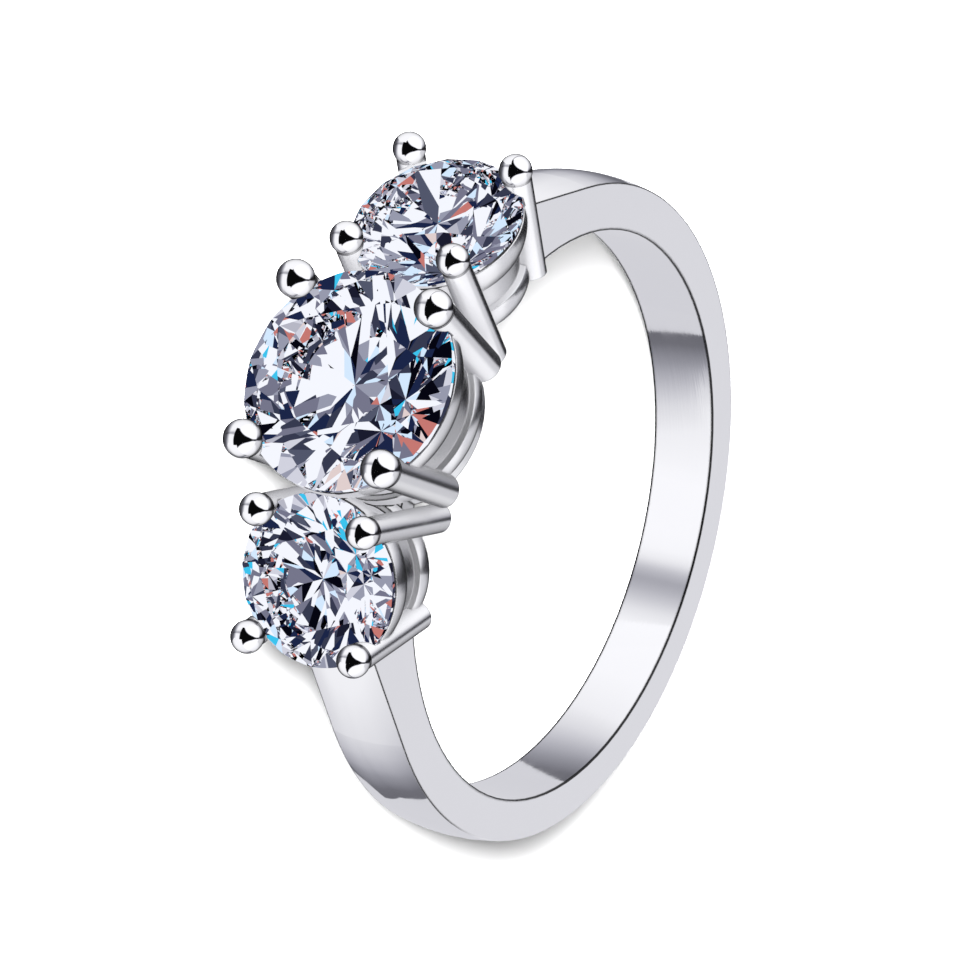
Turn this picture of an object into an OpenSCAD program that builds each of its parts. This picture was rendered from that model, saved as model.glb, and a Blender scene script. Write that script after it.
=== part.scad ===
// Three stone ring, lying on its side.
//
// Everything is drawn upright first: the finger hole runs along Y, the centre stone stands on
// +Z, and the side stones stand towards +X and -X. laid_down() then turns the finished pieces
// onto the side that the ring rests on. The origin is the middle of the finger hole.

/* [Band] */
// Inside diameter of the finger hole
finger_d = 16.7; // [14:0.1:22]
// Thickness of the band at its edges, at the back
band_t = 0.97; // [0.7:0.01:2]
// How much thicker the band gets from the back to its sides
side_growth = 0.3; // [0:0.05:0.6]
// Height of the domed outer face above its own edges
band_dome = 0.15; // [0.05:0.01:0.4]
// Width of the band at the back
back_w = 1.88; // [1.2:0.01:4]
// Width of the band where the shoulders begin
shoulder_w = 2.36; // [1.4:0.01:4]
// Angle from the head at which the straight shoulders leave the round band
shoulder_angle = 62; // [54:1:75]
// Thickness of the strip that joins the shoulders under the cups
bridge_t = 0.7; // [0.3:0.05:0.8]

/* [Stones] */
// Diameter of the centre stone
centre_d = 6.5; // [5:0.1:8]
// Diameter of each side stone
side_d = 5; // [3.5:0.1:6]
// Width of the table as a share of the stone's diameter
table_share = 0.57; // [0.5:0.01:0.65]
// Thickness of the girdle as a share of the stone's diameter
girdle_share = 0.035; // [0.025:0.005:0.06]
// Slope of the crown's main facets
crown_angle = 34.5; // [30:0.5:38]
// Slope of the pavilion's main facets
pavilion_angle = 40.8; // [38:0.1:44]
// How far the star facets reach from the table to the girdle
star_share = 0.5; // [0.4:0.05:0.65]
// How far the lower halves reach from the girdle to the point
lower_share = 0.77; // [0.6:0.01:0.85]
// Height of the centre stone's point above the finger
centre_point_lift = 0.75; // [0.4:0.05:2]
// Height of a side stone's point above the finger
side_point_lift = 0.93; // [0.8:0.01:2]
// How far a side stone's edge reaches under the centre stone's edge
stone_tuck = 0.07; // [-0.5:0.01:0.2]

/* [Cups] */
// Clearance between a stone and the metal round it
stone_gap = 0.04; // [0.02:0.01:0.1]
// Height of the upper rails
upper_rail_h = 0.95; // [0.4:0.05:1.1]
// Height of the lower rails
lower_rail_h = 0.74; // [0.4:0.02:0.9]
// Height of the centre cup's lower rail above the finger
centre_rail_lift = 0.55; // [0.3:0.01:1]
// Height of a side cup's lower rail above the finger
side_rail_lift = 0.38; // [0.3:0.01:1]
// How far the upper rails start inside their stone's edge
rail_inset = 0.03; // [0:0.01:0.2]
// Lean of a cup's sides, inwards to the finger
cup_lean = 11.5; // [5:0.5:15]
// Depth of the recessed wall behind its rails
recess = 0.17; // [0.1:0.01:0.5]
// Thickness of the recessed wall
cup_wall = 0.45; // [0.3:0.05:0.7]
// Bulge of a rail's outer face
rail_bulge = 0.1; // [0.02:0.01:0.15]
// Radius of the light hole under each side stone
light_hole_r = 0.75; // [0.3:0.05:0.9]

/* [Prongs] */
// Diameter of the centre prongs
centre_prong_d = 0.99; // [0.7:0.01:1.4]
// Diameter of the balls on the centre prongs
centre_tip_d = 1.13; // [0.8:0.01:1.6]
// Diameter of the side prongs
side_prong_d = 0.85; // [0.5:0.01:1.1]
// Diameter of the balls on the side prongs
side_tip_d = 0.97; // [0.6:0.01:1.3]
// Distance of a tip's middle outside its stone's edge
tip_outside = 0.07; // [0:0.01:0.2]
// Height of a tip's middle above its stone's girdle
tip_rise = 0.73; // [0.5:0.01:1]
// Direction of the prongs round a stone, measured from the line of the three stones
prong_turn = 43.6; // [38:0.1:50]
// Lean of the centre prongs, inwards to the foot
centre_lean = 8.2; // [0:0.1:12]
// Lean of the side prongs next to the centre stone
inner_lean = 4.4; // [0:0.1:8]
// Lean of the side prongs next to the band
outer_lean = 11.7; // [5:0.1:16]
// Height of the prongs' feet above the bottom of their cup
foot_rise = 0.15; // [0:0.05:0.5]

/* [Hidden] */

// Segments of large and of small round shapes
large_fn = 180;
small_fn = 60;
// How far cuts and joined ends run past the faces that they meet
overrun = 1;
// How far the main facets' tips run past the girdle, as a share of its radius
tip_past = 0.006;

finger_r = finger_d / 2;
centre_r = centre_d / 2;
side_r = side_d / 2;

// Radii and heights of a stone of girdle radius r, measured from the middle of its girdle
facet_step = 360 / 16;
function girdle_z(r) = girdle_share * r;
function table_r(r) = table_share * r;
function table_z(r) = girdle_z(r) + (r - table_r(r)) * tan(crown_angle);
function star_r(r) = let (edge = table_r(r) * cos(facet_step)) edge + star_share * (r - edge);
function star_z(r) = girdle_z(r) + (r - star_r(r) * cos(facet_step)) * tan(crown_angle);
function lower_r(r) = r * (1 - lower_share);
function lower_z(r) = -girdle_z(r) - (r - lower_r(r) * cos(facet_step)) * tan(pavilion_angle);
function point_z(r) = -girdle_z(r) - r * tan(pavilion_angle);
function tip_r(r) = r * (1 + tip_past);
function crown_tip_z(r) = girdle_z(r) - r * tip_past * tan(crown_angle);
function under_tip_z(r) = -girdle_z(r) + r * tip_past * tan(pavilion_angle);

// Distance of each girdle from the middle of the finger hole
centre_height = finger_r + centre_point_lift - point_z(centre_r);
side_height = finger_r + side_point_lift - point_z(side_r);
// Turn of the side stones round the finger, which brings their edge under the centre stone's
side_reach = norm([side_height, side_r]);
side_angle = asin((centre_r - stone_tuck) / side_reach) + atan2(side_r, side_height);

// Outer surface of the band: a circle moved towards the head, then straight shoulders
outer_r = finger_r + band_t + side_growth;
dome_r = (pow(shoulder_w / 2, 2) + pow(band_dome, 2)) / (2 * band_dome);
shoulder_foot = [outer_r * sin(shoulder_angle), side_growth + outer_r * cos(shoulder_angle)];
shoulder_run = shoulder_foot[0] * cos(side_angle) - shoulder_foot[1] * sin(side_angle);
shoulder_l = shoulder_run / cos(shoulder_angle - side_angle);

// A cup's sides lie on a cone: its height at the top, and its radius at height z
function cup_top(r) = -girdle_z(r) - stone_gap;
function cup_r(r, z) = r - rail_inset - (cup_top(r) - z) * tan(cup_lean);
// Radius of the bulge of a rail of height h
function bulge_r(h) = (pow(h / 2, 2) + pow(rail_bulge, 2)) / (2 * rail_bulge);

// Middles of the round shapes that the ring can rest on: a prong's tip and the centre upper rail's
// bulge, each as its height over the finger's middle and its distance from the ring's mid plane
rest_tip = [centre_height + tip_rise, (centre_r + tip_outside) * sin(prong_turn)];
rail_in = rail_bulge - bulge_r(upper_rail_h);
rest_rail = [
    centre_height + cup_top(centre_r) - rail_in * sin(cup_lean) - upper_rail_h / 2 * cos(cup_lean),
    cup_r(centre_r, cup_top(centre_r)) + rail_in * cos(cup_lean) - upper_rail_h / 2 * sin(cup_lean)
];
rest_back = [side_growth - outer_r, back_w / 2];
// Tilt at which the ring rests on a round shape of radius r and the back of the band
function lean_on(middle, r) =
    let (span = middle - rest_back) atan2(span[1], span[0]) + asin(r / norm(span));
rest_tilt = max(lean_on(rest_tip, centre_tip_d / 2), lean_on(rest_rail, bulge_r(upper_rail_h)));

// Point at angle a on the circle of radius r, at height z
function ring_point(r, a, z) = [r * cos(a), r * sin(a), z];

// A round brilliant, table up, with the middle of its girdle at the origin
module brilliant(r) {
    // The facets run on past the girdle, and a cylinder then trims them to a round edge
    rim_r = tip_r(r) / cos(facet_step / 2);
    crown_fall = (star_z(r) - crown_tip_z(r)) / (tip_r(r) - star_r(r));
    pavilion_rise = (under_tip_z(r) - lower_z(r)) / (tip_r(r) - lower_r(r));
    // Rings of points from the table down: radius, height, number of points, first angle
    rings = [
        [table_r(r), table_z(r), 8, 0],
        [star_r(r), star_z(r), 8, facet_step],
        [tip_r(r), crown_tip_z(r), 8, 0],
        [rim_r, crown_tip_z(r) - (rim_r - tip_r(r)) * crown_fall, 16, 0],
        [rim_r, under_tip_z(r) + (rim_r - tip_r(r)) * pavilion_rise, 16, 0],
        [tip_r(r), under_tip_z(r), 8, 0],
        [lower_r(r), lower_z(r), 8, facet_step],
        [0, point_z(r), 1, 0]
    ];
    points = [
        for (ring = rings, i = [0:ring[2] - 1])
            ring_point(ring[0], ring[3] + 360 * i / ring[2], ring[1])
    ];
    // Number of each ring's first point
    table = 0;
    star = 8;
    crown_tip = 16;
    crown_rim = 24;
    under_rim = 40;
    under_tip = 56;
    lower = 64;
    point = 72;
    sectors = [for (i = [0:7]) [i, (i + 1) % 8, (i + 7) % 8, 2 * i, 2 * i + 1, (2 * i + 2) % 16]];
    faces = concat(
        [[for (i = [7:-1:0]) table + i]],
        [for (s = sectors) [table + s[0], table + s[1], star + s[0]]],
        [for (s = sectors) [table + s[0], star + s[0], crown_tip + s[0], star + s[2]]],
        [for (s = sectors) [star + s[0], crown_rim + s[4], crown_rim + s[3], crown_tip + s[0]]],
        [for (s = sectors) [star + s[0], crown_tip + s[1], crown_rim + s[5], crown_rim + s[4]]],
        [for (s = sectors) [crown_rim + s[3], crown_rim + s[4], under_rim + s[4], under_rim + s[3]]],
        [for (s = sectors) [crown_rim + s[4], crown_rim + s[5], under_rim + s[5], under_rim + s[4]]],
        [for (s = sectors) [lower + s[0], under_tip + s[0], under_rim + s[3], under_rim + s[4]]],
        [for (s = sectors) [lower + s[0], under_rim + s[4], under_rim + s[5], under_tip + s[1]]],
        [for (s = sectors) [under_tip + s[0], lower + s[0], point, lower + s[2]]]
    );
    intersection() {
        polyhedron(points, faces);
        translate([0, 0, point_z(r) - overrun])
            rotate(facet_step / 4)
                cylinder(r = r, h = table_z(r) - point_z(r) + 2 * overrun, $fn = large_fn);
    }
}

// The space that a stone of girdle radius r takes up with its clearance
module seat(r) {
    rotate_extrude($fn = large_fn)
        polygon([
            [0, table_z(r) + stone_gap],
            [table_r(r) + stone_gap, table_z(r) + stone_gap],
            [star_r(r) + stone_gap, star_z(r) + stone_gap],
            [r + stone_gap, girdle_z(r) + stone_gap],
            [r + stone_gap, -girdle_z(r) - stone_gap],
            [lower_r(r) + stone_gap, lower_z(r) - stone_gap],
            [0, point_z(r) - stone_gap]
        ]);
}

// Section of a rail whose outer face runs down from the origin and bulges
module rail_section(h) {
    depth = recess + cup_wall;
    intersection() {
        translate([-depth, -h]) square([depth + rail_bulge, h]);
        translate([rail_bulge - bulge_r(h), -h / 2]) circle(r = bulge_r(h), $fn = large_fn);
    }
}

// A cup under a stone of girdle radius r: two rails and a recessed wall that runs down to foot
module cup(r, rail_bottom, foot) {
    rail_top = rail_bottom + lower_rail_h;
    wall_top_r = cup_r(r, cup_top(r)) - recess;
    wall_bottom_r = cup_r(r, rail_bottom) - recess;
    rotate_extrude($fn = large_fn) {
        translate([cup_r(r, cup_top(r)), cup_top(r)]) rotate(-cup_lean) rail_section(upper_rail_h);
        translate([cup_r(r, rail_top), rail_top]) rotate(-cup_lean) rail_section(lower_rail_h);
        polygon([
            [wall_top_r, cup_top(r)],
            [wall_bottom_r, rail_bottom],
            [wall_bottom_r, foot],
            [wall_bottom_r - cup_wall, foot],
            [wall_bottom_r - cup_wall, rail_bottom],
            [wall_top_r - cup_wall, cup_top(r)]
        ]);
    }
}

// The hollow inside a cup, from its top down to floor
module cup_hollow(r, rail_bottom, floor) {
    inner_top_r = cup_r(r, cup_top(r)) - recess - cup_wall;
    inner_bottom_r = cup_r(r, rail_bottom) - recess - cup_wall;
    rotate_extrude($fn = large_fn)
        polygon([
            [0, cup_top(r)],
            [inner_top_r, cup_top(r)],
            [inner_bottom_r, rail_bottom],
            [inner_bottom_r, floor],
            [0, floor]
        ]);
}

// A straight prong that leans towards -X from its ball tip at the origin
module prong(d, tip_d, lean, l) {
    sphere(d = tip_d, $fn = small_fn);
    rotate([0, lean, 0])
        translate([0, 0, -l])
            cylinder(d = d, h = l, $fn = small_fn);
}

// The two prongs on the +X side of a stone of girdle radius r
module prong_pair(r, d, tip_d, lean, l) {
    out = r + tip_outside;
    for (side = [-1, 1])
        translate([out * cos(prong_turn), side * out * sin(prong_turn), tip_rise])
            prong(d, tip_d, lean, l);
}

// Section of the band across its width, with the corners of its outer face at x = r
module band_section(r) {
    crown_r = r + band_dome;
    intersection() {
        translate([0, -shoulder_w]) square([crown_r, 2 * shoulder_w]);
        translate([crown_r - dome_r, 0]) circle(r = dome_r, $fn = large_fn);
    }
}

// Puts a piece at the centre stone, or at the side stone on +X
module at_centre() translate([0, 0, centre_height]) children();
module at_side() rotate([0, side_angle, 0]) translate([0, 0, side_height]) children();
// Draws a piece on +X and its mirror image on -X
module both_sides() {
    children();
    mirror([1, 0, 0]) children();
}

// Turns the upright ring onto its side, as it rests
module laid_down() rotate([-rest_tilt, 0, 0]) rotate([-90, 0, 180]) children();

// The band: a round disc with two straight shoulders, narrowed towards the back
module band() {
    back_z = side_growth - outer_r;
    intersection() {
        translate([0, 0, side_growth]) {
            rotate([90, 0, 0]) rotate_extrude($fn = large_fn) band_section(outer_r);
            both_sides()
                rotate([0, shoulder_angle - 90, 0])
                    linear_extrude(height = shoulder_l) band_section(outer_r);
        }
        rotate([90, 0, 90])
            linear_extrude(height = 2 * side_height, center = true)
                polygon([
                    [-back_w / 2, back_z - overrun],
                    [back_w / 2, back_z - overrun],
                    [back_w / 2, back_z],
                    [shoulder_w / 2, shoulder_foot[1]],
                    [shoulder_w / 2, side_height],
                    [-shoulder_w / 2, side_height],
                    [-shoulder_w / 2, shoulder_foot[1]],
                    [-back_w / 2, back_z]
                ]);
    }
}

// Cuts the space between the middles of the two side cups out of the band
module head_space() {
    corner = 2 * side_height * [sin(side_angle), cos(side_angle)];
    rotate([90, 0, 0])
        linear_extrude(height = 2 * shoulder_w, center = true)
            polygon([[0, 0], corner, [-corner[0], corner[1]]]);
}

// All that lies above the top of the cup of a side stone on +X
module above_side_cup() {
    span = 4 * side_height;
    at_side()
        translate([-span / 2, -span / 2, cup_top(side_r)])
            cube([span, span, span]);
}

// The strip that follows the finger from shoulder to shoulder, under the cups
module bridge() {
    rotate([90, 0, 0])
        linear_extrude(height = back_w, center = true)
            intersection() {
                circle(r = finger_r + bridge_t, $fn = large_fn);
                translate([-shoulder_foot[0], shoulder_foot[1]])
                    square([2 * shoulder_foot[0], side_height]);
            }
}

module finger_hole() {
    rotate([90, 0, 0])
        cylinder(r = finger_r, h = 2 * centre_d, center = true, $fn = large_fn);
}

module ring_mount() {
    centre_rail = centre_rail_lift + finger_r - centre_height;
    side_rail = side_rail_lift + finger_r - side_height;
    below_finger = -overrun;
    centre_floor = below_finger + finger_r - centre_height;
    side_floor = below_finger + finger_r - side_height;
    centre_l = (tip_rise - centre_rail - foot_rise) / cos(centre_lean);
    outer_l = (tip_rise - side_rail - foot_rise) / cos(outer_lean);
    inner_l = tip_rise - side_floor;
    color("silver") laid_down()
        difference() {
            union() {
                difference() {
                    union() {
                        difference() {
                            band();
                            head_space();
                            both_sides() above_side_cup();
                        }
                        both_sides() at_side() cup(side_r, side_rail, side_rail);
                    }
                    both_sides() at_side() cup_hollow(side_r, side_rail, side_floor);
                }
                bridge();
                at_centre() cup(centre_r, centre_rail, centre_floor);
                at_centre()
                    both_sides()
                        prong_pair(centre_r, centre_prong_d, centre_tip_d, centre_lean, centre_l);
                both_sides() at_side() {
                    prong_pair(side_r, side_prong_d, side_tip_d, outer_lean, outer_l);
                    mirror([1, 0, 0])
                        prong_pair(side_r, side_prong_d, side_tip_d, inner_lean, inner_l);
                }
            }
            at_centre() {
                cup_hollow(centre_r, centre_rail, centre_floor);
                seat(centre_r);
            }
            both_sides() at_side() {
                seat(side_r);
                translate([0, 0, side_floor])
                    cylinder(r = light_hole_r, h = -side_floor, $fn = small_fn);
            }
            finger_hole();
        }
}

module centre_stone() color("lavender") laid_down() at_centre() brilliant(centre_r);

module side_stone_left() color("lavender") laid_down() mirror([1, 0, 0]) at_side() brilliant(side_r);

module side_stone_right() color("lavender") laid_down() at_side() brilliant(side_r);

ring_mount();
centre_stone();
side_stone_left();
side_stone_right();
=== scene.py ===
"""Three stone ring: the looks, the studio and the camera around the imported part."""

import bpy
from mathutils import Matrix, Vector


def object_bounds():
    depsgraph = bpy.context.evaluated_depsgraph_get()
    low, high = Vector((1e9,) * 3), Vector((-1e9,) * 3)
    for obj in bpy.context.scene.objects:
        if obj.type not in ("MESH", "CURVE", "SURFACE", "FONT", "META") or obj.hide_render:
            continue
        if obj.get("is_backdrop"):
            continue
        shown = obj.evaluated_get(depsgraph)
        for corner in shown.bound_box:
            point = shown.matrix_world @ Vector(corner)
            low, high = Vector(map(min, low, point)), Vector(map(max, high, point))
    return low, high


bl_info = {
    "name": "Three stone ring",
    "version": (1, 0, 0),
    "blender": (4, 5, 0),
    "location": "View3D > Sidebar > Ring",
    "description": "Gives the three stone ring its polished metal, its cut stones and a photo studio",
    "category": "Object",
}

import math

import bpy
from bpy.props import FloatProperty, FloatVectorProperty, PointerProperty
from mathutils import Matrix, Vector

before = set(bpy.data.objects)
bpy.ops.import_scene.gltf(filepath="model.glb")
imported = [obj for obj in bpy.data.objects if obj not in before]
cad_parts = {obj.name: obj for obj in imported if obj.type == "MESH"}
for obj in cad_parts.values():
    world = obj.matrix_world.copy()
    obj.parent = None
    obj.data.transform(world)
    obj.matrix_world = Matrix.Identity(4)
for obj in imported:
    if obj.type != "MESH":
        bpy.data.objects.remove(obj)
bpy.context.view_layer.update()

MM = 0.001
FULL_TURN = 360
WHITE = (1.0, 1.0, 1.0, 1)
BLACK = (0.0, 0.0, 0.0, 1)
MOUNT = "ring_mount"
STONES = ("centre_stone", "side_stone_left", "side_stone_right")

# The camera stands 0.4 m from the ring, in metres in the ring's own frame
CAMERA_PLACE = Vector((0.06781095, -0.31777028, 0.23329534))
CAMERA_RIGHT = Vector((-0.30878216, 0.52243485, 0.79480526))
CAMERA_DOWN = Vector((0.93577437, 0.31643198, 0.15555425))
CAMERA_AHEAD = Vector((-0.17023484, 0.79179078, -0.58658969))
CAMERA_LENS = 521.31
CAMERA_SENSOR = 36.0
NEAREST_SEEN = 0.01
FURTHEST_SEEN = 10.0

# The ring's own directions: along the row of stones, along the finger hole's axis, which leans
# because the ring rests on its side, and from the finger hole to the centre stone
ROW_OF_STONES = Vector((1.0, 0.0, 0.0))
FINGER_AXIS = Vector((0.0, 0.109870, 0.993946))
TO_STONES = Vector((0.0, -0.993946, 0.109870))


# What a user can change


class RingMetal(bpy.types.PropertyGroup):
    """What can be changed on the polished metal"""

    colour: FloatVectorProperty(
        name="Metal colour", description="Colour of the polished metal",
        subtype="COLOR", size=3, min=0.0, max=1.0, default=(0.93, 0.93, 0.94),
    )
    roughness: FloatProperty(
        name="Roughness", description="How soft the reflections are",
        min=0.0, max=1.0, default=0.05,
    )
    scratch_depth: FloatProperty(
        name="Polishing marks", description="Depth of the fine polishing marks",
        subtype="DISTANCE", unit="LENGTH", min=0.0, max=0.0001, default=0.0000004,
        precision=7,
    )
    edge_radius: FloatProperty(
        name="Edge softening", description="Radius that polishing leaves on the edges",
        subtype="DISTANCE", unit="LENGTH", min=0.0, max=0.001, default=0.00006,
        precision=5,
    )
    # painted dark reflection along the band's edges: its width and its strength
    line_width: FloatProperty(
        name="Line width", description="How far the dark line reaches from the finger hole's edge",
        subtype="DISTANCE", unit="LENGTH", min=0.0, max=0.001, default=0.00015,
        precision=5,
    )
    painted_edge_line: FloatProperty(
        name="Edge line", description="Strength of the dark line along the band's edges",
        min=0.0, max=1.0, default=0.97,
    )
    # painted dark rims on the prongs and their tips, standing in for dark surroundings mirrored there
    painted_rim_strength: FloatProperty(
        name="Dark rims", description="Strength of the dark rims of the prongs and their tips",
        min=0.0, max=1.0, default=1.0,
    )
    # painted shade: how far the metal's colour darkens in the hollows where little light gets in
    hollows: FloatProperty(
        name="Dark hollows", description="How much darker the metal is where little light gets in",
        min=0.0, max=1.0, default=0.3,
    )
    hollow_roughness: FloatProperty(
        name="Hollow roughness", description="How soft the reflections are in the hollows",
        min=0.0, max=1.0, default=0.5,
    )
    prong_roughness: FloatProperty(
        name="Prong roughness", description="How soft the reflections are on the prongs",
        min=0.0, max=1.0, default=0.22,
    )


class RingStones(bpy.types.PropertyGroup):
    """What can be changed on the stones"""

    tint: FloatVectorProperty(
        name="Stone tint", description="Colour of the light that passes through a stone",
        subtype="COLOR", size=3, min=0.0, max=1.0, default=(0.975, 0.98, 1.0),
    )
    bending: FloatProperty(
        name="Refractive index", description="How strongly the stone bends light",
        min=1.3, max=3.0, default=2.42,
    )


class RingStudio(bpy.types.PropertyGroup):
    """What can be changed in the studio"""

    floor_colour: FloatVectorProperty(
        name="Floor colour", description="Colour of the plain floor",
        subtype="COLOR", size=3, min=0.0, max=1.0, default=(0.86, 0.86, 0.865),
    )
    room_light: FloatProperty(
        name="Room light", description="Brightness of the even light from all round",
        min=0.0, max=10.0, default=0.36,
    )
    key_light: FloatProperty(
        name="Key light", description="Power of the lamp that casts the soft shadow",
        unit="POWER", min=0.0, max=100.0, default=15.0,
    )
    flash_size: FloatProperty(
        name="Sparkle size", description="How many patches of light the stones catch",
        min=0.5, max=20.0, default=2.5,
    )
    flash_pattern: FloatProperty(
        name="Sparkle pattern", description="Another number gives another pattern of patches",
        min=0.0, max=100.0, default=0.0,
    )


# Help with shader nodes

# Sockets of a Mix node, by the kind of value that it mixes: first, second, result
MIX_SOCKETS = {"FLOAT": (2, 3, 0), "VECTOR": (4, 5, 1), "RGBA": (6, 7, 2)}


class Wiring:
    """Adds shader nodes to a tree and joins them"""

    def __init__(self, tree):
        self.tree = tree
        tree.nodes.clear()

    def add(self, kind, inputs=None, **settings):
        """A new node. inputs gives values by the socket's name or number"""
        node = self.tree.nodes.new(kind)
        for name, value in settings.items():
            setattr(node, name, value)
        for name, value in (inputs or {}).items():
            self.put(node.inputs[name], value)
        return node

    def put(self, socket, value):
        if isinstance(value, bpy.types.NodeSocket):
            self.tree.links.new(value, socket)
        else:
            socket.default_value = value

    def maths(self, operation, *values):
        return self.add("ShaderNodeMath", dict(enumerate(values)), operation=operation).outputs[0]

    def vector(self, operation, *values):
        node = self.add("ShaderNodeVectorMath", dict(enumerate(values)), operation=operation)
        return node.outputs[0]

    def dot(self, vector, direction):
        node = self.add("ShaderNodeVectorMath", {0: vector, 1: direction}, operation="DOT_PRODUCT")
        return node.outputs["Value"]

    def length(self, vector):
        node = self.add("ShaderNodeVectorMath", {0: vector}, operation="LENGTH")
        return node.outputs["Value"]

    def scaled(self, vector, factor):
        node = self.add("ShaderNodeVectorMath", {0: vector, "Scale": factor}, operation="SCALE")
        return node.outputs[0]

    def parts(self, vector):
        return self.add("ShaderNodeSeparateXYZ", {"Vector": vector}).outputs

    def step(self, value, start, end, low=0.0, high=1.0):
        """low below start, high above end, with a smooth rise between"""
        values = dict(enumerate((value, start, end, low, high)))
        return self.add("ShaderNodeMapRange", values, interpolation_type="SMOOTHSTEP").outputs[0]

    def blend(self, share, first, second, kind="FLOAT"):
        """first where share is 0, second where it is 1"""
        one, two, result = MIX_SOCKETS[kind]
        node = self.add("ShaderNodeMix", {0: share, one: first, two: second}, data_type=kind)
        return node.outputs[result]

    def blend_colour(self, share, first, second):
        return self.blend(share, first, second, "RGBA")

    def mixed(self, share, first, second):
        """The shader node first where share is 0, second where it is 1"""
        return self.add(
            "ShaderNodeMixShader", {0: share, 1: first.outputs[0], 2: second.outputs[0]}
        )

    def ramp(self, value, stops, interpolation="LINEAR"):
        """stops lists where each grey or colour stands, from 0 to 1"""
        node = self.add("ShaderNodeValToRGB", {"Fac": value})
        ramp = node.color_ramp
        ramp.interpolation = interpolation
        while len(ramp.elements) > 1:
            ramp.elements.remove(ramp.elements[-1])
        for i, (place, colour) in enumerate(stops):
            stop = ramp.elements[0] if i == 0 else ramp.elements.new(place)
            stop.position = place
            stop.color = (colour,) * 3 + (1,) if isinstance(colour, float) else (*colour, 1)
        return node.outputs["Color"]


# Share of the light that the metal throws back
METAL_SHARE = 0.93


def grey(srgb):
    """Light value of a screen grey from 0 to 255"""
    c = srgb / 255
    return c / 12.92 if c <= 0.04045 else ((c + 0.055) / 1.055) ** 2.4


def mirrored_grey(srgb):
    """Brightness that the metal has to mirror to show a screen grey from 0 to 255"""
    return grey(srgb) / METAL_SHARE


def shade(colour, factors=(1, 1, 1)):
    """The colour times the factors, with an alpha of 1"""
    return (*(min(1, part * factor) for part, factor in zip(colour, factors)), 1)


def new_material(name):
    material = bpy.data.materials.new(name)
    material.use_nodes = True
    return material, Wiring(material.node_tree)


# Metal

# Middles of the ball tips on one side of the ring in millimetres, each with its radius: distance
# from the middle of the row of stones, distance in front of the finger's middle, and height along
# the finger
TIPS = (
    ((2.404, 12.749, 2.290), 0.565),
    ((7.376, 9.962, 1.772), 0.485),
    ((4.086, 11.703, 1.772), 0.485),
)
# A tip's finish ends between these distances outside its ball, in millimetres
TIP_FADE = (0.01, 0.06)
# The ball's own shape takes over from the mesh between these shares of that finish
TIP_SHAPE = (0.3, 0.7)

# The prongs begin between these distances from the band's middle, along the finger hole's axis
PRONG_SIDE = (1.22 * MM, 1.32 * MM)
# The prongs begin between these distances from the finger's middle, towards the stones
PRONG_FRONT = (6.0 * MM, 6.6 * MM)
# The finger hole's edge ends between these distances from the finger hole's axis
HOLE_EDGE = (8.7 * MM, 8.9 * MM)
# The front half of the outer edge begins between these distances towards the stones
FRONT_HALF = (-1.5 * MM, 1.5 * MM)
# Width of the outer edge's line, as a share of the finger hole's
OUTER_LINE = 0.6
# The painted dark reflection shows where the rounded and the flat surface face apart: from the second
# of these two cosines, and in full from the first
LINE_BEND = (0.965, 0.992)
# Colour of the painted dark reflection on the edges
PAINTED_LINE_COLOUR = (0.004, 0.004, 0.005, 1)

# The fine patterns: how many waves to a metre, and how often they are made finer
CLOUDS = {"Scale": 420.0, "Detail": 3.0}
SMUDGES = {"Scale": 1600.0, "Detail": 5.0}
MARKS = {"Scale": 1.0, "Detail": 2.0}
# The polishing marks have so many waves to a metre along each direction
MARK_WAVES = (900.0, 900.0, 14000.0)
# The clouds' darkest and lightest shades, as shares of the metal's colour
CLOUD_DARK = (0.985, 0.985, 0.985)
CLOUD_LIGHT = (1.01, 1.01, 1.012)
# Where the smudges begin and end, and the roughness there as shares of the metal's
SMUDGE_RANGE = (0.3, 0.7)
SMUDGE_ROUGHNESS = (0.6, 1.5)

# How far round a point the hollows are felt
HOLLOW_REACH = 0.9 * MM
# Shares of open sky at which the painted shade and the softer finish of the hollows are full, and end
HOLLOW_SHADE = (0.35, 0.95)
SOFT_HOLLOW = (0.6, 0.92)
# Colour of the painted shade in the hollows
HOLLOW_SHADE_COLOUR = (0.25, 0.25, 0.27, 1)

# How many directions are tried for an edge, for the dark line and for the open sky
EDGE_TRIES = 6
LINE_TRIES = 8
SKY_TRIES = 6


def ball_tips(w, sideways, front, across):
    """A mask of the prongs' ball tips, and the direction from the middle of the ball at hand"""
    spot = w.add(
        "ShaderNodeCombineXYZ", {"X": w.maths("ABSOLUTE", sideways), "Y": front, "Z": across}
    ).outputs[0]
    ball = 0.0
    outward = (0.0, 0.0, 0.0)
    for middle, radius in TIPS:
        offset = w.vector("SUBTRACT", spot, tuple(part * MM for part in middle))
        start, end = ((radius + margin) * MM for margin in TIP_FADE)
        near = w.step(w.length(offset), start, end, low=1.0, high=0.0)
        ball = w.maths("MAXIMUM", ball, near)
        outward = w.vector("ADD", outward, w.scaled(offset, near))
    return ball, outward


def true_ball(w, sideways, upwards, outward):
    """The way a ball tip's surface faces: straight away from the ball's middle"""
    aside, ahead, along = w.parts(outward)
    aside = w.maths("MULTIPLY", aside, w.maths("SIGN", sideways))
    along = w.maths("MULTIPLY", along, w.maths("SIGN", upwards))
    level = w.vector(
        "ADD", w.scaled(tuple(ROW_OF_STONES), aside), w.scaled(tuple(TO_STONES), ahead)
    )
    return w.vector("NORMALIZE", w.vector("ADD", level, w.scaled(tuple(FINGER_AXIS), along)))


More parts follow.
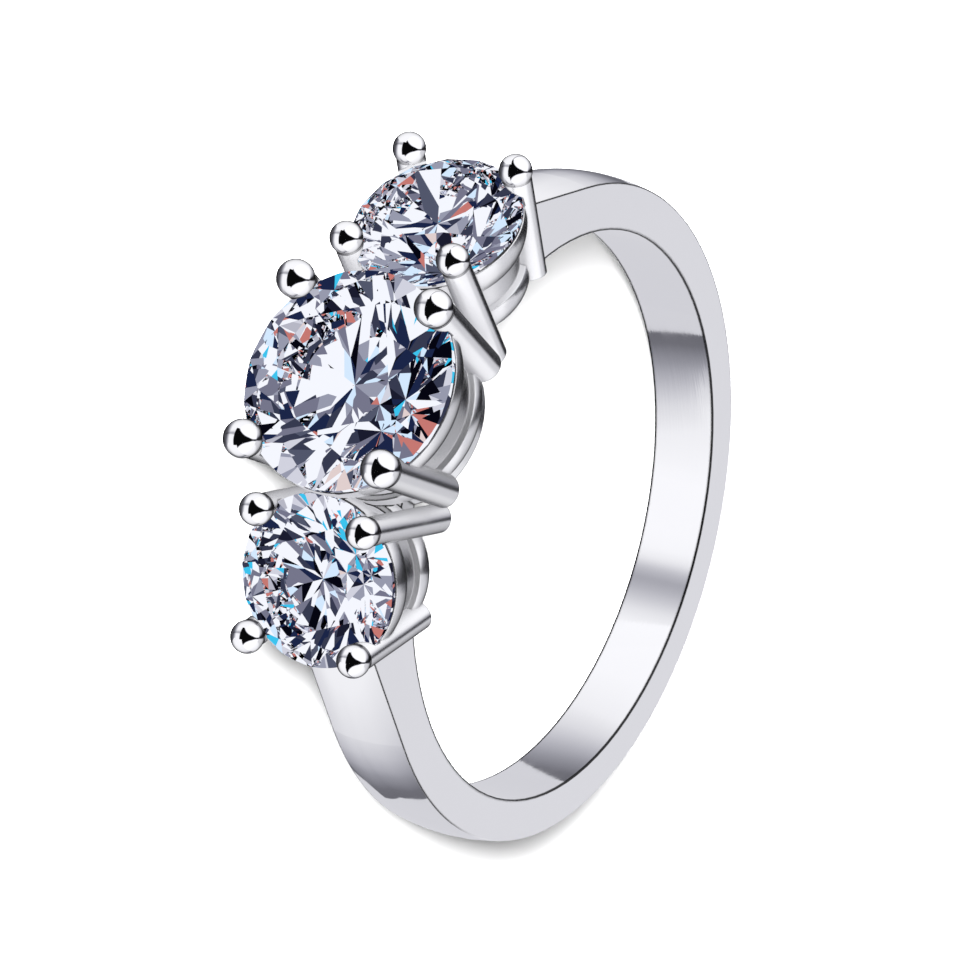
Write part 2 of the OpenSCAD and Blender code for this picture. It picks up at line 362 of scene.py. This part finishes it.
def painted_edge_line(w, place, front, line_width):
    """A mask of the painted dark reflection that runs along the finger hole and, thinner, along the
    front half of the outer edge"""
    from_axis = w.length(w.vector("CROSS_PRODUCT", place, tuple(FINGER_AXIS)))
    hole = w.step(from_axis, *HOLE_EDGE, low=1.0, high=0.0)
    lined = w.maths("MAXIMUM", hole, w.step(front, *FRONT_HALF))
    width = w.blend(hole, line_width * OUTER_LINE, line_width)
    rounded = w.add("ShaderNodeBevel", {"Radius": width}, samples=LINE_TRIES).outputs[0]
    flat = w.add("ShaderNodeNewGeometry").outputs["True Normal"]
    edge = w.step(w.dot(rounded, flat), *LINE_BEND, low=1.0, high=0.0)
    return w.maths("MULTIPLY", edge, lined)


def polished_metal(look):
    material, w = new_material("polished silver")
    place = w.add("ShaderNodeTexCoord").outputs["Object"]
    sideways = w.dot(place, tuple(ROW_OF_STONES))
    front = w.dot(place, tuple(TO_STONES))
    upwards = w.dot(place, tuple(FINGER_AXIS))
    across = w.maths("ABSOLUTE", upwards)
    # the prongs lie outside the band's sides, in front of the finger hole
    prong = w.maths("MULTIPLY", w.step(across, *PRONG_SIDE), w.step(front, *PRONG_FRONT))
    ball, outward = ball_tips(w, sideways, front, across)
    not_ball = w.maths("SUBTRACT", 1.0, ball)

    # the polish reaches less far into the hollows between the cups and prongs, which softens their
    # reflections; the hollows also get painted shade where the occlusion node finds little open sky
    open_sky = w.add(
        "ShaderNodeAmbientOcclusion",
        {"Distance": HOLLOW_REACH},
        samples=SKY_TRIES,
        only_local=True,
    ).outputs["AO"]
    hollow_shade = w.step(open_sky, *HOLLOW_SHADE, low=1.0, high=0.0)
    sheltered = w.step(open_sky, *SOFT_HOLLOW, low=1.0, high=0.0)

    # faint clouds in the metal, painted shade in the hollows, and a painted dark reflection along the
    # band's edges
    clouds = w.add("ShaderNodeTexNoise", {"Vector": place, **CLOUDS}).outputs["Fac"]
    colour = w.blend_colour(
        clouds, shade(look.colour, CLOUD_DARK), shade(look.colour, CLOUD_LIGHT)
    )
    # painted shade: the hollows darken towards the shade colour
    colour = w.blend_colour(w.maths("MULTIPLY", hollow_shade, look.hollows), colour, HOLLOW_SHADE_COLOUR)
    # painted dark reflection along the band's edges, left off the prongs
    line = painted_edge_line(w, place, front, look.line_width)
    line = w.maths("MULTIPLY", line, w.maths("SUBTRACT", 1.0, prong))
    colour = w.blend_colour(w.maths("MULTIPLY", line, look.painted_edge_line), colour, PAINTED_LINE_COLOUR)

    # fine smudges on the polish, softer rods, and still softer hollows
    smudges = w.add("ShaderNodeTexNoise", {"Vector": place, **SMUDGES}).outputs["Fac"]
    smooth, rough = (look.roughness * factor for factor in SMUDGE_ROUGHNESS)
    start, end = SMUDGE_RANGE
    rough = w.add(
        "ShaderNodeMapRange", {0: smudges, 1: start, 2: end, 3: smooth, 4: rough}
    ).outputs[0]
    rough = w.blend(w.maths("MULTIPLY", prong, not_ball), rough, look.prong_roughness)
    rough = w.blend(w.maths("MULTIPLY", sheltered, not_ball), rough, look.hollow_roughness)

    # painted dark rims: the prongs and their balls mirror less at a flat angle, a darkened tint that
    # stands in for dark surroundings mirrored at their edges
    painted_rim_tint = w.blend_colour(w.maths("MULTIPLY", prong, look.painted_rim_strength), WHITE, BLACK)

    # soft edges, true balls and fine polishing marks
    soft = w.add(
        "ShaderNodeBevel", {"Radius": look.edge_radius}, samples=EDGE_TRIES
    ).outputs[0]
    facing = w.blend(
        w.step(ball, *TIP_SHAPE), soft, true_ball(w, sideways, upwards, outward), "VECTOR"
    )
    stretched = w.add("ShaderNodeMapping", {"Vector": place, "Scale": MARK_WAVES}).outputs[0]
    marks = w.add("ShaderNodeTexNoise", {"Vector": stretched, **MARKS}).outputs["Fac"]
    marked = w.add(
        "ShaderNodeBump",
        {"Strength": 1.0, "Distance": look.scratch_depth, "Height": marks, "Normal": facing},
    ).outputs[0]
    shader = w.add(
        "ShaderNodeBsdfPrincipled",
        {
            "Base Color": colour,
            "Metallic": 1.0,
            "Roughness": rough,
            "Specular Tint": painted_rim_tint,
            "Normal": marked,
        },
    )
    w.add("ShaderNodeOutputMaterial", {"Surface": shader.outputs[0]})
    return material


# Stones

# The faint change of tint inside a stone: its pattern, and its deepest shade as shares of the tint
DEPTHS = {"Scale": 900.0, "Detail": 2.0}
DEEP_TINT = (0.99, 0.99, 1)
# A facet is a mirror where it would throw back more than this share of the light
MIRROR_SHARE = 0.9
# A ray that has passed through fewer surfaces than this has not been in a stone yet
FIRST_SURFACE = 0.5


def cut_stone(look):
    material, w = new_material("clear cut stone")
    place = w.add("ShaderNodeTexCoord").outputs["Object"]
    depth = w.add("ShaderNodeTexNoise", {"Vector": place, **DEPTHS}).outputs["Fac"]
    tint = w.blend_colour(depth, shade(look.tint, DEEP_TINT), shade(look.tint))
    # a facet mirrors a ray where it would throw nearly all of it back, and bends it through
    # elsewhere, so that each facet shows one clean patch
    thrown_back = w.add("ShaderNodeFresnel", {"IOR": look.bending}).outputs[0]
    bent = w.add("ShaderNodeBsdfRefraction", {"Color": tint, "Roughness": 0.0, "IOR": look.bending})
    mirror = w.add("ShaderNodeBsdfGlossy", {"Color": WHITE, "Roughness": 0.0})
    stone = w.mixed(w.maths("GREATER_THAN", thrown_back, MIRROR_SHARE), bent, mirror)
    # the metal mirrors the studio through the stones, so its tips stay clean
    ray = w.add("ShaderNodeLightPath").outputs
    clear = w.add("ShaderNodeBsdfTransparent")
    outside = w.maths("LESS_THAN", ray["Transmission Depth"], FIRST_SURFACE)
    in_metal = w.mixed(outside, stone, clear)
    seen = w.mixed(ray["Is Glossy Ray"], stone, in_metal)
    w.add("ShaderNodeOutputMaterial", {"Surface": seen.outputs[0]})
    return material


# Studio

# Greys of the studio's walls below the ring, by direction: degrees from straight behind, grey
LOW_WALLS = (
    (0, 208), (60, 208), (84, 208), (85, 225), (120, 250), (168, 249), (174, 247), (178, 235),
    (182, 189), (186, 163), (190, 181), (194, 203), (198, 226), (203, 241), (210, 249),
    (240, 250), (286, 225), (288, 208), (360, 208),
)

# Greys of the screens behind the ring, by direction: degrees from straight behind, grey. The flat
# side of the band mirrors the screen at 349 degrees
BACK_WALLS = (
    (0, 214), (9, 214), (15, 240), (22, 251), (55, 251), (305, 250), (318, 205), (326, 160),
    (331, 70), (336, 35), (342, 35), (344.5, 110), (346.5, 212), (349, 217), (360, 214),
)

# The two white boxes over the ring are turned a little from the ring's own axes
BOX_SIDEWAYS = (0.951, 0.309, 0.0)
BOX_INWARD = (-0.309, 0.951, 0.0)
BOX_LIGHT = 1.1
# The dark wedge between them: half its width level with the ring, how much it narrows upwards, and
# where it ends towards the back, all as parts of a direction
WEDGE_LIGHT = 0.003
WEDGE_WIDTH = 0.78
WEDGE_NARROWING = 0.66
WEDGE_END = (-0.35, 0.25)
WEDGE_EDGE = (0.03, 0.12)
# The boxes meet the lower walls at this height, as the upward part of a direction. A dark line
# parts them there, from the first to the second distance from that height
BOX_FOOT = -0.25
FOOT_LINE = (0.01, 0.05)
FOOT_LINE_LIGHT = 0.12
FOOT_BLEND = (-0.02, 0.02)
# The screens and the end of the dark line, as the backward part of a direction
SCREEN_START = (0.45, 0.62)
FOOT_LINE_END = (0.60, 0.75)
# The lower walls darken downwards between these heights, to this share of their light
LOW_SHADE = (-0.97, -0.66)
LOW_LIGHT = 0.10

# Greys of the big light panels, by distance in millimetres from their back edge
PANEL = (
    (0, 104), (2, 110), (4.7, 147), (6.8, 178), (10, 218), (13.2, 239), (19, 248), (30, 251),
)
PANEL_DEPTH = 30.0
# Grey of the wall past a panel's back edge, and the width of that edge in millimetres
PANEL_BACK = 209
PANEL_EDGE = (-0.05, 0.05)
# A panel gets white sooner towards its top: heights in millimetres, and how much sooner there
PANEL_RISE = (-14.0, -4.0)
PANEL_STRETCH = (0.75, 1.6)

# Each light panel: its name, its place sideways, its front edge, and its back edge as heights and
# depths, all in millimetres
PANELS = (
    (
        "right_light_panel", 16.0, -22.0,
        (
            (-20.0, 5.0), (-14.8, 6.1), (-13.5, 7.7), (-12.0, 8.6), (-11.8, 10.8), (-9.5, 8.7),
            (-6.1, 5.5), (-4.2, 4.5), (-2.8, 4.0), (0.0, 2.6),
        ),
    ),
    (
        "left_light_panel", -16.5, -36.0,
        (
            (-20.0, 6.0), (-15.7, 9.4), (-15.4, 15.0), (-13.5, 14.5), (-10.0, 12.8), (-7.0, 9.7),
            (-4.2, 8.0), (0.0, 7.0),
        ),
    ),
)

# Blue of the darkest and of the lightest greys, as a share of their red
COOL_BLUE = (1.16, 1.03)

# Colours that the stones break the light into: where each starts, from 0 to 1, and the colour
SPARKLES = (
    (0.00, (0.97, 0.98, 1.0)),
    (0.22, (0.70, 0.86, 1.0)),
    (0.26, (0.68, 0.68, 0.74)),
    (0.35, (0.80, 0.66, 0.62)),
    (0.37, (0.50, 0.50, 0.56)),
    (0.47, (0.33, 0.34, 0.42)),
    (0.57, (0.19, 0.19, 0.26)),
    (0.64, (0.09, 0.10, 0.15)),
    (0.71, (0.04, 0.045, 0.08)),
    (0.77, (0.011, 0.012, 0.028)),
    (0.82, (0.002, 0.002, 0.006)),
    (0.885, (0.012, 0.020, 0.065)),
    (0.91, (0.60, 0.20, 0.17)),
    (0.955, (0.05, 0.58, 0.86)),
)

# The key light stands low in front of the ring, a little to the left, so the shadow falls behind
KEY_LIGHT_PLACE = (-0.056, -0.397, 0.204)
KEY_LIGHT_SIZE = 0.3

# Half the floor's width, how far it lies under the ring, and its fine pattern
FLOOR_HALF = 1.2
FLOOR_GAP = 0.00002
FLOOR_GRAIN = {"Scale": 60.0, "Detail": 4.0}
FLOOR_DARK = (0.99, 0.99, 0.99)

# How often light may bounce, by its kind
BOUNCES = {
    "max_bounces": 32,
    "transmission_bounces": 32,
    "glossy_bounces": 24,
    "diffuse_bounces": 3,
}


def cool(w, value):
    """A grey with the studio's faint blue in its darker tones"""
    blue = w.maths("MULTIPLY", value, w.step(value, 0.0, 1.0, *COOL_BLUE))
    return w.add(
        "ShaderNodeCombineColor", {"Red": value, "Green": value, "Blue": blue}
    ).outputs[0]


def walls(w, share, greys):
    """The greys, given by degrees, at a share of the turn round the ring"""
    return w.ramp(share, [(degrees / FULL_TURN, mirrored_grey(g)) for degrees, g in greys])


def studio_for_metal(w, heading):
    """Brightness of the studio round the ring, as the metal mirrors it"""
    x, y, z = w.parts(heading)
    turn = w.maths("DIVIDE", w.maths("ARCTAN2", x, y), 2 * math.pi)
    share = w.maths("FRACT", w.maths("ADD", turn, 1.0))
    low = walls(w, share, LOW_WALLS)
    low = w.maths("MULTIPLY", low, w.step(z, *LOW_SHADE, low=LOW_LIGHT))
    # two big white boxes over the ring, one to each side, with a dark wedge between them in front
    aside = w.maths("ABSOLUTE", w.dot(heading, BOX_SIDEWAYS))
    wedge = w.maths("SUBTRACT", WEDGE_WIDTH, w.maths("MULTIPLY", z, WEDGE_NARROWING))
    in_front = w.step(w.dot(heading, BOX_INWARD), *WEDGE_END, low=1.0, high=0.0)
    wedge = w.maths("MULTIPLY", wedge, in_front)
    box = w.step(w.maths("SUBTRACT", aside, wedge), *WEDGE_EDGE)
    high = w.blend(box, WEDGE_LIGHT, BOX_LIGHT)
    high = w.blend(w.step(y, *SCREEN_START), high, walls(w, share, BACK_WALLS))
    # a dark line parts the boxes from the walls below them, except behind the ring
    rise = w.maths("ADD", z, -BOX_FOOT)
    line = w.step(w.maths("ABSOLUTE", rise), *FOOT_LINE, low=FOOT_LINE_LIGHT)
    line = w.maths("MAXIMUM", line, w.step(y, *FOOT_LINE_END))
    return w.maths("MULTIPLY", w.blend(w.step(rise, *FOOT_BLEND), low, high), line)


def light_for_stones(w, heading, look):
    """The patches of light, dark and colour that the stones break up"""
    moved = w.vector("ADD", heading, (look.flash_pattern, 0.0, 0.0))
    cells = w.add(
        "ShaderNodeTexVoronoi", {"Vector": moved, "Scale": look.flash_size, "Randomness": 1.0}
    )
    pick = w.add("ShaderNodeSeparateColor", {"Color": cells.outputs["Color"]}).outputs[0]
    return w.ramp(pick, SPARKLES, "CONSTANT")


def studio_world(look):
    """The surroundings: white for the camera, patches of light for the stones, the studio's walls
    for the metal, and an even light for all else"""
    world = bpy.data.worlds.new("studio")
    world.use_nodes = True
    world.cycles.sampling_method = "NONE"
    bpy.context.scene.world = world
    w = Wiring(world.node_tree)
    heading = w.add("ShaderNodeTexCoord").outputs["Generated"]
    ray = w.add("ShaderNodeLightPath").outputs
    plain = (look.room_light,) * 3 + (1,)
    sky = w.blend_colour(ray["Is Glossy Ray"], plain, cool(w, studio_for_metal(w, heading)))
    sky = w.blend_colour(ray["Is Transmission Ray"], sky, light_for_stones(w, heading, look))
    sky = w.blend_colour(ray["Is Camera Ray"], sky, WHITE)
    shader = w.add("ShaderNodeBackground", {"Color": sky, "Strength": 1.0})
    w.add("ShaderNodeOutputWorld", {"Surface": shader.outputs[0]})


def stage_sheet(name, corners, material):
    """A flat sheet of the stage with one material"""
    mesh = bpy.data.meshes.new(name)
    mesh.from_pydata(corners, [], [(0, 1, 2, 3)])
    mesh.materials.append(material)
    sheet = bpy.data.objects.new(name, mesh)
    bpy.context.scene.collection.objects.link(sheet)
    return sheet


def light_panel(name, x, y_front, edge):
    """A big upright panel beside the ring, seen only in the metal. edge lists the height and the
    depth of its back edge in millimetres. It is dark at that edge, and white further on"""
    low, high = edge[0][0], edge[-1][0]
    y_back = max(y for _z, y in edge) + 1
    material, w = new_material(name)
    place = w.add("ShaderNodeTexCoord").outputs["Object"]
    _x, y, z = w.parts(place)
    y, z = w.maths("DIVIDE", y, MM), w.maths("DIVIDE", z, MM)
    height = w.maths("DIVIDE", w.maths("SUBTRACT", z, low), high - low)
    reach = w.ramp(height, [((h - low) / (high - low), d / PANEL_DEPTH) for h, d in edge])
    inward = w.maths("SUBTRACT", w.maths("MULTIPLY", reach, PANEL_DEPTH), y)
    stretched = w.maths("MULTIPLY", inward, w.step(z, *PANEL_RISE, *PANEL_STRETCH))
    value = w.ramp(
        w.maths("DIVIDE", stretched, PANEL_DEPTH),
        [(d / PANEL_DEPTH, mirrored_grey(g)) for d, g in PANEL],
    )
    value = w.blend(w.step(inward, *PANEL_EDGE), mirrored_grey(PANEL_BACK), value)
    shader = w.add("ShaderNodeEmission", {"Color": cool(w, value), "Strength": 1.0})
    w.add("ShaderNodeOutputMaterial", {"Surface": shader.outputs[0]})
    material.cycles.emission_sampling = "NONE"
    outline = ((y_front, low), (y_back, low), (y_back, high), (y_front, high))
    panel = stage_sheet(name, [(x * MM, y * MM, z * MM) for y, z in outline], material)
    panel.visible_camera = panel.visible_diffuse = panel.visible_transmission = False
    panel.visible_shadow = False
    panel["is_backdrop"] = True


def plain_floor(look, height):
    material, w = new_material("matt floor")
    place = w.add("ShaderNodeTexCoord").outputs["Object"]
    grain = w.add("ShaderNodeTexNoise", {"Vector": place, **FLOOR_GRAIN}).outputs["Fac"]
    colour = w.blend_colour(
        grain, shade(look.floor_colour, FLOOR_DARK), shade(look.floor_colour)
    )
    shader = w.add("ShaderNodeBsdfDiffuse", {"Color": colour, "Roughness": 0.5})
    w.add("ShaderNodeOutputMaterial", {"Surface": shader.outputs[0]})
    corners = [
        (x * FLOOR_HALF, y * FLOOR_HALF, height) for x, y in ((-1, -1), (1, -1), (1, 1), (-1, 1))
    ]
    floor = stage_sheet("floor", corners, material)
    floor.visible_glossy = floor.visible_transmission = False
    floor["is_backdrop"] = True


def key_light(power):
    """The lamp that casts the soft shadow. The metal and the stones don't mirror it"""
    light = bpy.data.lights.new("key light", "AREA")
    light.shape = "RECTANGLE"
    light.size = light.size_y = KEY_LIGHT_SIZE
    light.energy = power
    lamp = bpy.data.objects.new("key light", light)
    bpy.context.scene.collection.objects.link(lamp)
    lamp.location = KEY_LIGHT_PLACE
    lamp.rotation_mode = "QUATERNION"
    lamp.rotation_quaternion = (-Vector(KEY_LIGHT_PLACE)).to_track_quat("-Z", "Y")
    lamp.visible_glossy = lamp.visible_transmission = lamp.visible_camera = False


def photo_camera():
    """The camera at the photo's angle to the ring"""
    lens = bpy.data.cameras.new("camera")
    lens.sensor_width = CAMERA_SENSOR
    lens.lens = CAMERA_LENS
    lens.clip_start, lens.clip_end = NEAREST_SEEN, FURTHEST_SEEN
    camera = bpy.data.objects.new("camera", lens)
    bpy.context.scene.collection.objects.link(camera)
    turn = Matrix((CAMERA_RIGHT, -CAMERA_DOWN, -CAMERA_AHEAD)).transposed().to_4x4()
    camera.matrix_world = Matrix.Translation(CAMERA_PLACE) @ turn
    bpy.context.scene.camera = camera


# Steps that build the scene


def dress(node, material):
    """Puts the material on every slot of a CAD node"""
    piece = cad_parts.get(node)
    if piece is None:
        raise RuntimeError(f"the packed ring has no piece named {node}")
    if not piece.material_slots:
        piece.data.materials.append(material)
    for slot in piece.material_slots:
        slot.material = material
    return piece


class RING_OT_metal(bpy.types.Operator):
    """Give the ring mount its polished metal"""

    bl_idname = "ring.metal"
    bl_label = "Polish the mount"
    bl_options = {"REGISTER", "UNDO"}

    def execute(self, context):
        piece = dress(MOUNT, polished_metal(context.scene.ring_metal))
        # the stones and the metal mirror the studio alone, not the mount
        piece.visible_transmission = piece.visible_glossy = False
        return {"FINISHED"}


class RING_OT_stones(bpy.types.Operator):
    """Give the three stones their clear, sparkling material"""

    bl_idname = "ring.stones"
    bl_label = "Finish the stones"
    bl_options = {"REGISTER", "UNDO"}

    def execute(self, context):
        material = cut_stone(context.scene.ring_stones)
        for name in STONES:
            piece = dress(name, material)
        return {"FINISHED"}


class RING_OT_stage(bpy.types.Operator):
    """Set up the floor, the lights and the camera"""

    bl_idname = "ring.stage"
    bl_label = "Set up the studio"
    bl_options = {"REGISTER", "UNDO"}

    def execute(self, context):
        look = context.scene.ring_studio
        scene = context.scene
        low, _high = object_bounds()
        if not math.isfinite(low.z) or low.z > 1:
            raise RuntimeError("there is no ring to put on the floor")
        studio_world(look)
        plain_floor(look, low.z - FLOOR_GAP)
        key_light(look.key_light)
        for name, x, y_front, edge in PANELS:
            light_panel(name, x, y_front, edge)
        photo_camera()
        scene.view_settings.view_transform = "Standard"
        scene.view_settings.look = "None"
        for kind, count in BOUNCES.items():
            setattr(scene.cycles, kind, count)
        scene.cycles.caustics_reflective = False
        scene.cycles.caustics_refractive = False
        return {"FINISHED"}


class RING_PT_panel(bpy.types.Panel):
    """Lists the ring's settings and steps"""

    bl_idname = "RING_PT_panel"
    bl_label = "Three stone ring"
    bl_space_type = "VIEW_3D"
    bl_region_type = "UI"
    bl_category = "Ring"

    def draw(self, context):
        scene = context.scene
        for title, group, step in (
            ("Metal", scene.ring_metal, RING_OT_metal),
            ("Stones", scene.ring_stones, RING_OT_stones),
            ("Studio", scene.ring_studio, RING_OT_stage),
        ):
            box = self.layout.box()
            box.label(text=title)
            for name in group.__annotations__:
                box.prop(group, name)
            box.operator(step.bl_idname)


CLASSES = (
    RingMetal,
    RingStones,
    RingStudio,
    RING_OT_metal,
    RING_OT_stones,
    RING_OT_stage,
    RING_PT_panel,
)


def register():
    for item in CLASSES:
        bpy.utils.register_class(item)
    bpy.types.Scene.ring_metal = PointerProperty(type=RingMetal)
    bpy.types.Scene.ring_stones = PointerProperty(type=RingStones)
    bpy.types.Scene.ring_studio = PointerProperty(type=RingStudio)


def unregister():
    del bpy.types.Scene.ring_studio
    del bpy.types.Scene.ring_stones
    del bpy.types.Scene.ring_metal
    for item in reversed(CLASSES):
        bpy.utils.unregister_class(item)


def main():
    register()
    bpy.ops.ring.metal()
    bpy.ops.ring.stones()
    bpy.ops.ring.stage()


if __name__ == "__main__":
    main()
